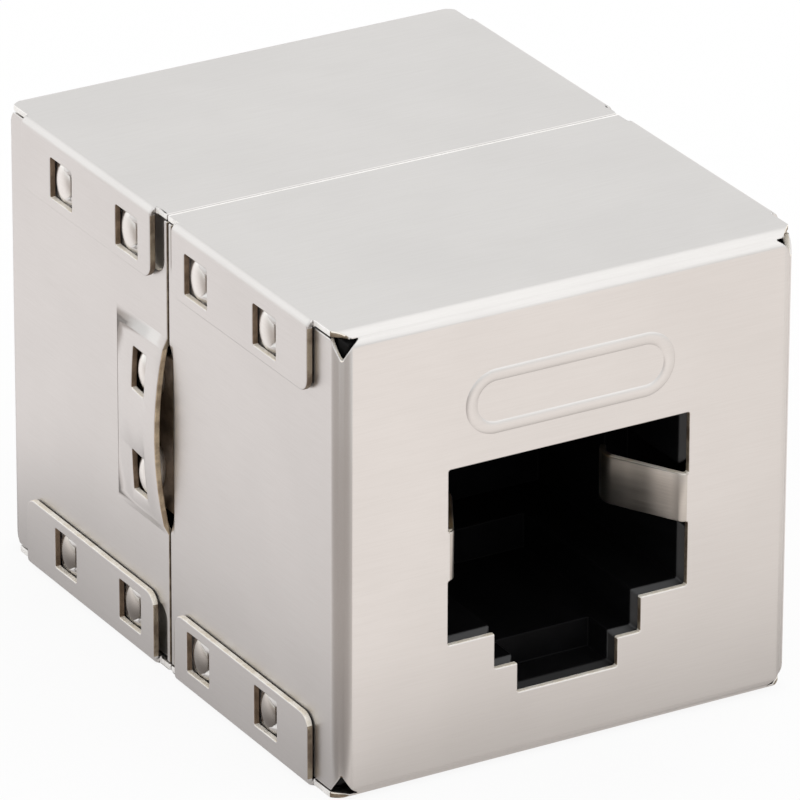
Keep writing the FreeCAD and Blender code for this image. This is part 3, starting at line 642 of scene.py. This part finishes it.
class CouplerStageSettings(bpy.types.PropertyGroup):
    azimuth: bpy.props.FloatProperty(
        name="Azimuth", description="Camera's turn from the front, towards the left",
        default=math.radians(30.26), subtype="ANGLE")
    elevation: bpy.props.FloatProperty(
        name="Elevation", description="Camera's height above level",
        default=math.radians(24.59), subtype="ANGLE")
    roll: bpy.props.FloatProperty(
        name="Roll", description="Camera's tilt about its own axis",
        default=math.radians(0.21), subtype="ANGLE")
    distance: bpy.props.FloatProperty(
        name="Distance", description="From the camera to its target", default=403.74 * MM,
        unit="LENGTH")
    target: bpy.props.FloatVectorProperty(
        name="Target", description="The point that the camera looks at",
        default=(0.145 * MM, -0.263 * MM, 10.813 * MM), size=3, subtype="TRANSLATION")
    lens: bpy.props.FloatProperty(
        name="Lens", description="Focal length in millimetres on a 36 mm sensor", default=404.7)
    key_power: bpy.props.FloatProperty(
        name="Key light", description="Power of the overhead softbox", default=0.40,
        unit="POWER")
    rim_power: bpy.props.FloatProperty(
        name="Rim light", description="Power of the softbox behind the left side",
        default=0.15, unit="POWER")
    sky: bpy.props.FloatProperty(
        name="Room light", description="Strength of the even room light", default=1.0)
    paint: bpy.props.FloatVectorProperty(
        name="Paint", description="Colour of the floor in its own light",
        default=(0.86, 0.86, 0.86), size=3, subtype="COLOR")
    seen_white: bpy.props.FloatProperty(
        name="Seen white", description="Share of plain white in the floor that the camera sees",
        default=0.88, min=0.0, max=1.0, subtype="FACTOR")
    seen_cards: bpy.props.FloatProperty(
        name="Seen cards", description="Share of the cards in the floor that the metal reflects",
        default=0.9, min=0.0, max=1.0, subtype="FACTOR")
    card_front: bpy.props.FloatVectorProperty(
        name="Front card", description="Floor colour that the face reflects",
        default=(1.30, 1.215, 1.165), size=3, subtype="COLOR", max=2.0)
    card_side: bpy.props.FloatVectorProperty(
        name="Side card", description="Floor colour that the side wall reflects",
        default=(1.06, 1.01, 1.0), size=3, subtype="COLOR", max=2.0)
    card_right: bpy.props.FloatVectorProperty(
        name="Right card", description="Floor colour past the right edge of the face",
        default=(0.62, 0.57, 0.53), size=3, subtype="COLOR")
    card_right_share: bpy.props.FloatProperty(
        name="Right card share", description="How much of the right card shows", default=0.35,
        min=0.0, max=1.0, subtype="FACTOR")
    card_dark: bpy.props.FloatVectorProperty(
        name="Dark card", description="Floor colour that the corner between them reflects",
        default=(0.47, 0.415, 0.385), size=3, subtype="COLOR")
    card_width: bpy.props.FloatProperty(
        name="Dark card width", description="Half the angle that the dark card takes up",
        default=math.radians(89), subtype="ANGLE")
    card_core: bpy.props.FloatProperty(
        name="Dark card core", description="Share of that width that is wholly dark",
        default=0.225, min=0.0, max=1.0, subtype="FACTOR")
    card_bearing: bpy.props.FloatProperty(
        name="Dark card bearing", description="Where the dark card stands, from straight back",
        default=math.radians(-120.0), subtype="ANGLE")
    near_tone: bpy.props.FloatProperty(
        name="Contact tone", description="How bright the floor is close to the object",
        default=0.62)
    near_side: bpy.props.FloatProperty(
        name="Contact tone, side", description="How much darker it is beside the left wall",
        default=0.14)
    near_reach: bpy.props.FloatProperty(
        name="Contact reach", description="How far from the object the floor is bright again",
        default=16.0 * MM, unit="LENGTH")
    near_start: bpy.props.FloatProperty(
        name="Contact start", description="Where the floor starts to brighten",
        default=-4.0 * MM, unit="LENGTH")


# ---------------------------------------------------------------- the case

PLATED, CUT, CUT_LIT, SPRING, SHADED_SHEET, RIM_HIGHLIGHT, BOWED = range(7)


def case_finishes(settings):
    """The materials of a case half, in the order of their numbers above."""
    return (nickel_plating("satin_nickel", settings.plating, settings.roughness),
            # The cut edge in a shaded and a lit copy: painted light.
            cut_edge("cut_edge", settings.edge_shade, settings.edge_worn, 0.45, 0.7),
            cut_edge("rolled_cut_edge", settings.edge_lit, settings.edge_dull, 0.6, 0.25),
            spring_nickel("spring_nickel", settings.spring),
            # A dark sheet where there is only shade: painted shade.
            cut_edge("inner_sheet", (0.24, 0.17, 0.115), (0.14, 0.095, 0.06), 0.5, 0.4),
            # Near-white strips: painted highlight.
            cut_edge("bright_rim", (0.96, 0.94, 0.92), (0.88, 0.86, 0.83), 0.6, 0.25),
            # A lighter copy of the cut edge for the arch: painted highlight.
            cut_edge("bowed_edge", (0.74, 0.60, 0.42), (0.42, 0.32, 0.22), 0.5, 0.6))


def wall_finish(along, level, normal, end, settings):
    """The finish of a face in a side wall, where level is measured from the nearer lid."""
    sheet, fold = settings.sheet, settings.fold
    nx, ny, nz = map(abs, normal)
    # Painted light: a cut edge that faces up gets the lit copy, the others the shaded one.
    cut = CUT_LIT if normal.z > SLANTED else CUT
    if level < 1.5 * sheet and min(nx, ny) > HALFWAY:
        return cut
    beside_flap = not settings.flap_start < along < settings.flap_end
    # Painted highlight: the lid's edge beside the flaps is near white.
    if level < sheet and beside_flap and nx > HALFWAY:
        return RIM_HIGHLIGHT
    in_arch = along < settings.arch_edge and level > settings.arch_level
    # Painted highlight: the cut edge over the arched pocket is lighter than the other cut edges.
    if end == ENDS["rear"] and in_arch and ny > FACING:
        return BOWED
    in_flap = (settings.flap_start + settings.flap_corner < along
               < settings.flap_end - settings.flap_corner)
    in_catch = (abs(along - settings.catch_first) < settings.catch_reach
                and level > settings.arch_level)
    # Painted shade: the walls seen through the flap and catch windows are dark.
    if ny > STEEP and (in_flap or in_catch):
        return SHADED_SHEET
    depth = HALF_LENGTH - along
    on_edge = nx < FACING and depth > fold and level > fold / 2
    in_notch = depth < 2 * fold and sheet < level < 2 * fold
    return cut if on_edge or in_notch and min(nx, ny, nz) > SLANTED else PLATED


def inner_finish(centre, normal, along, settings):
    """The finish of a face inside the walls: an edge of the opening, a spring or plating."""
    sheet, depth = settings.sheet, HALF_LENGTH - along
    on_leaf = (abs(centre.z - settings.leaf_level) < settings.leaf_height / 2
               and abs(centre.x) < settings.opening / 2)
    if depth < 1.2 * sheet and not on_leaf:
        # Painted light: an edge of the opening that faces up gets the lit copy, the others the
        # shaded one.
        cut = CUT_LIT if normal.z > SLANTED else CUT
        return cut if abs(normal.y) < FACING else PLATED
    if along > 4 * sheet:
        # Painted highlight: the top of the right spring's end gets the lit cut edge colour.
        on_curl = normal.z > FACING and centre.x > 0 and depth < settings.curl_depth
        return CUT_LIT if on_curl else SPRING
    return PLATED


def finish_of(centre, normal, end, settings):
    """Which finish a face of a case half has, by where it lies and how it is turned."""
    sheet, fold = settings.sheet, settings.fold
    inside = settings.wall - 2 * sheet
    across, along = abs(centre.x), centre.y * end
    level = min(centre.z, HEIGHT - centre.z)
    # Painted shade: the tongue behind the seam is dark.
    if along < 0:
        return SHADED_SHEET
    on_lid = level < sheet / 2 and abs(normal.z) > SQUARE
    # Painted highlight: a strip of the front lid along the seam is near white.
    if on_lid and along < settings.rim and end == ENDS["front"]:
        return RIM_HIGHLIGHT
    if across > inside:
        return wall_finish(along, level, normal, end, settings)
    if level > fold and across < inside - fold:
        return inner_finish(centre, normal, along, settings)
    return PLATED


def press_bumps_flat(case, settings):
    """Press the tips of the snap bumps back, where domes take their place, in edit mode."""
    def on_tip(corner, side):
        rise = corner.x * side - settings.wall
        level = min(corner.z, HEIGHT - corner.z)
        return (abs(rise - settings.bump_rise) < settings.bump_play
                and abs(level - settings.dome_level) < settings.bump_reach)

    for side in WALLS.values():
        face = (side * (settings.wall + settings.bump_left), 0.0, 0.0)
        select_where(case, "vertices", lambda vertex: on_tip(vertex.co, side))
        bpy.ops.transform.resize(value=(0.0, 1.0, 1.0), center_override=face)


def keep_bevels_narrow(case, way, cuts, settings):
    """In edit mode, cut strips beside the flap ends, walls and seam that hold the bevels."""
    rim, wall = settings.rim, settings.wall

    def on_lid(face):
        level = min(face.center.z, HEIGHT - face.center.z)
        return abs(face.normal.z) > FLAT and level < 1.5 * settings.sheet

    for cut in cuts:
        for place in (cut - rim, cut + rim):
            bpy.ops.mesh.select_all(action="SELECT")
            bpy.ops.mesh.bisect(plane_co=(0.0, place, 0.0), plane_no=ALONG)
    for place, direction in (((wall - rim, 0.0, 0.0), ACROSS),
                             ((rim - wall, 0.0, 0.0), ACROSS),
                             ((0.0, way * rim, 0.0), ALONG)):
        select_where(case, "polygons", on_lid)
        bpy.ops.mesh.bisect(plane_co=place, plane_no=direction)


class OBJECT_OT_coupler_case(bpy.types.Operator):
    """Finish the two folded halves of the case"""
    bl_idname = "object.coupler_case"
    bl_label = "Folded case"

    def execute(self, context):
        settings = context.scene.coupler_case
        finishes = case_finishes(settings)
        for end, way in ENDS.items():
            cuts = (way * settings.flap_start, way * settings.flap_end)
            case = bare_copy(f"{end}_shell", f"{end}_case")
            press_bumps_flat(case, settings)
            merge_flats(cuts)
            keep_bevels_narrow(case, way, cuts, settings)
            split_hollows()
            soften(case, settings.edge_break)
            paint(case, *finishes)
            for face in case.data.polygons:
                face.material_index = finish_of(face.center, face.normal, way, settings)
            stands_for(case, f"{end}_shell")
        return {"FINISHED"}


def pressed_dome(size, material):
    """The shape of a bump that is pressed out of the sheet: a flattened ball at the origin."""
    bpy.ops.object.select_all(action="DESELECT")
    bpy.ops.mesh.primitive_uv_sphere_add(segments=40, ring_count=20, radius=1.0,
                                         location=(0.0, 0.0, 0.0),
                                         rotation=(0.0, math.radians(90), 0.0))
    dome = bpy.context.object
    bpy.ops.object.transform_apply(location=False, rotation=True, scale=False)
    bpy.ops.object.mode_set(mode="EDIT")
    bpy.ops.mesh.select_all(action="SELECT")
    bpy.ops.transform.resize(value=size, center_override=(0.0, 0.0, 0.0))
    bpy.ops.object.mode_set(mode="OBJECT")
    bpy.ops.object.shade_smooth()
    paint(dome, material)
    return dome


def set_dome(pattern, name, place):
    """Sink a copy of a dome half into the sheet."""
    dome = own_copy(pattern, name)
    dome.location = place
    bpy.ops.object.transform_apply(location=True, rotation=False, scale=False)
    belongs(dome)


def blank_label(name, way, settings):
    """A bead pressed up round a plain field in the face: a blank label with rounded ends."""
    height = settings.label_height / 2
    straight = settings.label_width / 2 - height
    centre = Vector((0.0, way * (HALF_LENGTH - settings.label_sink), settings.label_level))
    flattening = (settings.label_sink + settings.label_rise) / settings.label_bead
    bpy.ops.object.select_all(action="DESELECT")
    bpy.ops.mesh.primitive_torus_add(major_radius=height, minor_radius=settings.label_bead,
                                     major_segments=96, minor_segments=32, location=centre,
                                     rotation=(math.radians(90), 0.0, 0.0))
    ring = bpy.context.object
    ring.name = name
    bpy.ops.object.transform_apply(location=True, rotation=True, scale=False)
    bpy.ops.object.mode_set(mode="EDIT")
    bpy.ops.mesh.select_all(action="SELECT")
    bpy.ops.transform.resize(value=(1.0, flattening, 1.0), center_override=centre)
    for side in WALLS.values():
        select_where(ring, "vertices", lambda vertex: vertex.co.x * side > SAME)
        bpy.ops.transform.translate(value=(side * straight, 0.0, 0.0))
    bpy.ops.object.mode_set(mode="OBJECT")
    bpy.ops.object.shade_smooth()
    return ring


class OBJECT_OT_coupler_pressings(bpy.types.Operator):
    """Add the domes in the windows and the blank label over each opening"""
    bl_idname = "object.coupler_pressings"
    bl_label = "Pressed details"

    def execute(self, context):
        settings = context.scene.coupler_case
        low, high = settings.dome_level, HEIGHT - settings.dome_level
        # Painted shade covers the lower half of the lower domes and fades out above their middle.
        underside_shade = (settings.underside_shade, low / MM - 0.45, low / MM + 0.75)
        # Shaded and lit copies of the plating for the lower and upper domes: painted light.
        tarnished = nickel_plating("tarnished_nickel", settings.tarnished, 0.24, underside_shade)
        polished = nickel_plating("polished_nickel", settings.polished, 0.34)
        domes = {low: pressed_dome(settings.dome_size, tarnished),
                 high: pressed_dome(settings.dome_size, polished)}
        catch = pressed_dome(settings.catch_size, polished)
        rows = (settings.dome_first, settings.dome_first + settings.dome_pitch)
        windows = [(way * row + settings.dome_shift, level)
                   for way in ENDS.values() for row in rows for level in domes]
        for wall, side in WALLS.items():
            for number, (along, level) in enumerate(windows, 1):
                set_dome(domes[level], f"{wall}_dome_{number}",
                         (side * settings.wall, along, level))
            for number, offset in enumerate((-0.5, 0.5), 1):
                set_dome(catch, f"{wall}_catch_{number}",
                         (side * (settings.wall - settings.catch_depth), settings.catch_first,
                          settings.catch_level + offset * settings.catch_pitch))
        for pattern in (*domes.values(), catch):
            bpy.data.objects.remove(pattern)
        for end, way in ENDS.items():
            label = blank_label(f"{end}_blank_label", way, settings)
            paint(label, bpy.data.materials["satin_nickel"])
            belongs(label)
        return {"FINISHED"}


# ---------------------------------------------------------------- jacks, contacts, board

MOULDED, ROUNDED, DEEP = range(3)


def jack_finish(centre, normal, settings):
    """Which plastic a face has: a rounded rim round the opening, the front, or the inside."""
    depth = HALF_LENGTH - abs(centre.y)
    by_opening = (abs(centre.x) < settings.rim_reach
                  and settings.rim_bottom < centre.z < settings.rim_top)
    # Painted highlight on the rims round the opening, and painted shade on the deep faces, which
    # lose their sheen.
    if by_opening and depth < settings.rim_depth and HALFWAY < abs(normal.y) < SQUARE:
        return ROUNDED
    return DEEP if depth > settings.dim_depth else MOULDED


class OBJECT_OT_coupler_jacks(bpy.types.Operator):
    """Finish the two moulded jacks and their contact carriers"""
    bl_idname = "object.coupler_jacks"
    bl_label = "Moulded jacks"

    def execute(self, context):
        settings = context.scene.coupler_jacks
        # Rims with painted highlight, and deep faces without sheen as painted shade.
        plastics = (jack_plastic("black_jack_plastic", settings.plastic, 0.2),
                    jack_plastic("worn_jack_edge", settings.rim_sheen_tone, 0.45),
                    jack_plastic("deep_jack_plastic", settings.plastic, 0.04))
        for end in ENDS:
            for node, name in ((f"{end}_jack_body", f"{end}_jack"),
                               (f"{end}_contact_carrier", f"{end}_carrier")):
                moulding = bare_copy(node, name)
                bpy.ops.object.mode_set(mode="EDIT")
                merge_flats()
                split_hollows()
                soften(moulding, settings.edge_break)
                paint(moulding, *plastics)
                for face in moulding.data.polygons:
                    face.material_index = jack_finish(face.center, face.normal, settings)
                stands_for(moulding, node)
        return {"FINISHED"}


class OBJECT_OT_coupler_contacts(bpy.types.Operator):
    """Finish the spring contacts and the circuit board"""
    bl_idname = "object.coupler_contacts"
    bl_label = "Contacts and board"

    def execute(self, context):
        gold = contact_gold("gold_flash")
        for end in ENDS:
            for number in range(1, CONTACTS + 1):
                paint(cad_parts[f"{end}_contact_{number}"], gold)
        paint(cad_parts["circuit_board"], board_laminate("green_solder_mask"))
        return {"FINISHED"}


# ---------------------------------------------------------------- the stage

def studio_floor(settings):
    """A white floor that keeps the object's shadow, with the cards that the metal reflects."""
    material, recipe = new_material("studio_floor")
    camera, glossy, clear = [
        recipe.node("ShaderNodeLightPath", output=f"Is {kind} Ray")
        for kind in ("Camera", "Glossy", "Transmission")]
    corner = Vector((CAD_BOX[0].x, CAD_BOX[0].y, 0.0)) / MM
    way = recipe.vector("NORMALIZE", recipe.vector("SUBTRACT", recipe.place(), corner))

    def towards(bearing):
        """How nearly a place lies at a bearing from the near left corner, as a cosine."""
        aim = (math.sin(bearing), math.cos(bearing), 0.0)
        return recipe.vector("DOT_PRODUCT", way, aim, "Value")

    # Painted reflections: the floor that the metal sees holds cards of other tones.
    before_side = recipe.span(towards(-settings.azimuth), -0.2, 0.4)
    shade = recipe.blend(before_side, settings.card_front, settings.card_side)
    past_face = recipe.span(towards(math.radians(90)), 0.45, 1.0, 0.0, settings.card_right_share)
    shade = recipe.blend(past_face, shade, settings.card_right)
    dark = recipe.span(towards(settings.card_bearing), math.cos(settings.card_width),
                       math.cos(settings.card_width * settings.card_core))
    shade = recipe.blend(dark, shade, settings.card_dark)

    foot = (CAD_BOX[1].x / MM, CAD_BOX[1].y / MM, 0.0)
    beside = recipe.vector("SUBTRACT", recipe.vector("ABSOLUTE", recipe.place()), foot)
    beside = recipe.vector("MAXIMUM", beside, (0.0, 0.0, 0.0))
    distance = recipe.vector("LENGTH", beside, output="Value")
    # Painted shadow: that floor darkens close to the object.
    clear_of = recipe.span(distance, settings.near_start / MM, settings.near_reach / MM)
    near_tone = settings.near_tone - before_side * settings.near_side
    shade = recipe.scaled(shade, clear_of + (1.0 - clear_of) * near_tone)

    colour = recipe.blend(glossy, (1.0, 1.0, 1.0), shade)
    white = recipe.node("ShaderNodeEmission", None, {"Color": colour, "Strength": 1.0})
    coat = recipe.node("ShaderNodeBsdfDiffuse", None, {"Color": settings.paint})
    shown = camera.most(clear) * settings.seen_white + glossy * settings.seen_cards
    mixed = recipe.node("ShaderNodeMixShader", None, {0: shown, 1: coat, 2: white})
    recipe.node("ShaderNodeOutputMaterial", None, {"Surface": mixed})
    return material


def studio_light(name, place, aim, side, power):
    """A square softbox that is aimed at a point."""
    bpy.ops.object.light_add(type="AREA", location=place)
    lamp = bpy.context.object
    lamp.name = name
    lamp.rotation_euler = (Vector(aim) - Vector(place)).to_track_quat("-Z", "Y").to_euler()
    lamp.data.shape = "SQUARE"
    lamp.data.size = side
    lamp.data.energy = power


def white_room(sky):
    """A room that gives an even light and looks white to the camera, whatever its light."""
    world = bpy.data.worlds.new("room")
    recipe = Recipe(world)
    seen = recipe.node("ShaderNodeLightPath", output="Is Camera Ray")
    room = recipe.node("ShaderNodeBackground", None,
                       {"Color": (1.0, 1.0, 1.0), "Strength": sky + seen * (1.0 - sky)})
    recipe.node("ShaderNodeOutputWorld", None, {"Surface": room})
    return world


class OBJECT_OT_coupler_stage(bpy.types.Operator):
    """Add the floor, the lights and the camera"""
    bl_idname = "object.coupler_stage"
    bl_label = "Stage"

    def execute(self, context):
        settings = context.scene.coupler_stage
        bpy.ops.object.select_all(action="DESELECT")
        bpy.ops.mesh.primitive_plane_add(size=3.0, location=(0.0, 0.0, -0.01 * MM))
        floor = bpy.context.object
        floor.name = "floor"
        paint(floor, studio_floor(settings))
        floor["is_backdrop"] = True

        centre = (0.0, 0.0, HEIGHT / 2)
        studio_light("softbox_above", (0.16, -0.14, 0.30), centre, 0.6, settings.key_power)
        studio_light("softbox_behind", (-0.187, 0.353, 0.206), centre, 0.42,
                     settings.rim_power)
        context.scene.world = white_room(settings.sky)

        turn, rise = settings.azimuth, settings.elevation
        view = Vector((math.sin(turn) * math.cos(rise), math.cos(turn) * math.cos(rise),
                       -math.sin(rise)))
        bpy.ops.object.camera_add(location=Vector(settings.target) - view * settings.distance)
        camera = bpy.context.object
        camera.rotation_mode = "QUATERNION"
        tilt = Quaternion((0, 0, 1), settings.roll)
        camera.rotation_quaternion = view.to_track_quat("-Z", "Y") @ tilt
        camera.data.lens = settings.lens
        camera.data.sensor_width = 36.0
        camera.data.clip_start = 0.01
        camera.data.clip_end = 10.0
        context.scene.camera = camera
        context.scene.view_settings.view_transform = "Standard"
        return {"FINISHED"}


# ---------------------------------------------------------------- panel and run

OPERATORS = (OBJECT_OT_coupler_case, OBJECT_OT_coupler_pressings, OBJECT_OT_coupler_jacks,
             OBJECT_OT_coupler_contacts, OBJECT_OT_coupler_stage)
SETTINGS = {"coupler_case": CouplerCaseSettings, "coupler_jacks": CouplerJackSettings,
            "coupler_stage": CouplerStageSettings}


class VIEW3D_PT_coupler(bpy.types.Panel):
    """Lists the steps that finish the coupler"""
    bl_idname = "VIEW3D_PT_coupler"
    bl_label = "Inline Coupler"
    bl_space_type = "VIEW_3D"
    bl_region_type = "UI"
    bl_category = "Coupler"

    def draw(self, context):
        for operator in OPERATORS:
            self.layout.operator(operator.bl_idname)
        for name, group in SETTINGS.items():
            box = self.layout.box()
            for field in group.__annotations__:
                box.prop(getattr(context.scene, name), field)


def register():
    for made in (*SETTINGS.values(), *OPERATORS, VIEW3D_PT_coupler):
        bpy.utils.register_class(made)
    for name, group in SETTINGS.items():
        setattr(bpy.types.Scene, name, bpy.props.PointerProperty(type=group))


def unregister():
    for name in SETTINGS:
        delattr(bpy.types.Scene, name)
    for made in (VIEW3D_PT_coupler, *reversed(OPERATORS), *reversed(list(SETTINGS.values()))):
        bpy.utils.unregister_class(made)


def main():
    register()
    bpy.ops.object.coupler_case()
    bpy.ops.object.coupler_pressings()
    bpy.ops.object.coupler_jacks()
    bpy.ops.object.coupler_contacts()
    bpy.ops.object.coupler_stage()
    boxes = {"cad": CAD_BOX, "visual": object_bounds()}
    sizes = {name: [list(corner) for corner in box] for name, box in boxes.items()}


if __name__ == "__main__":
    main()
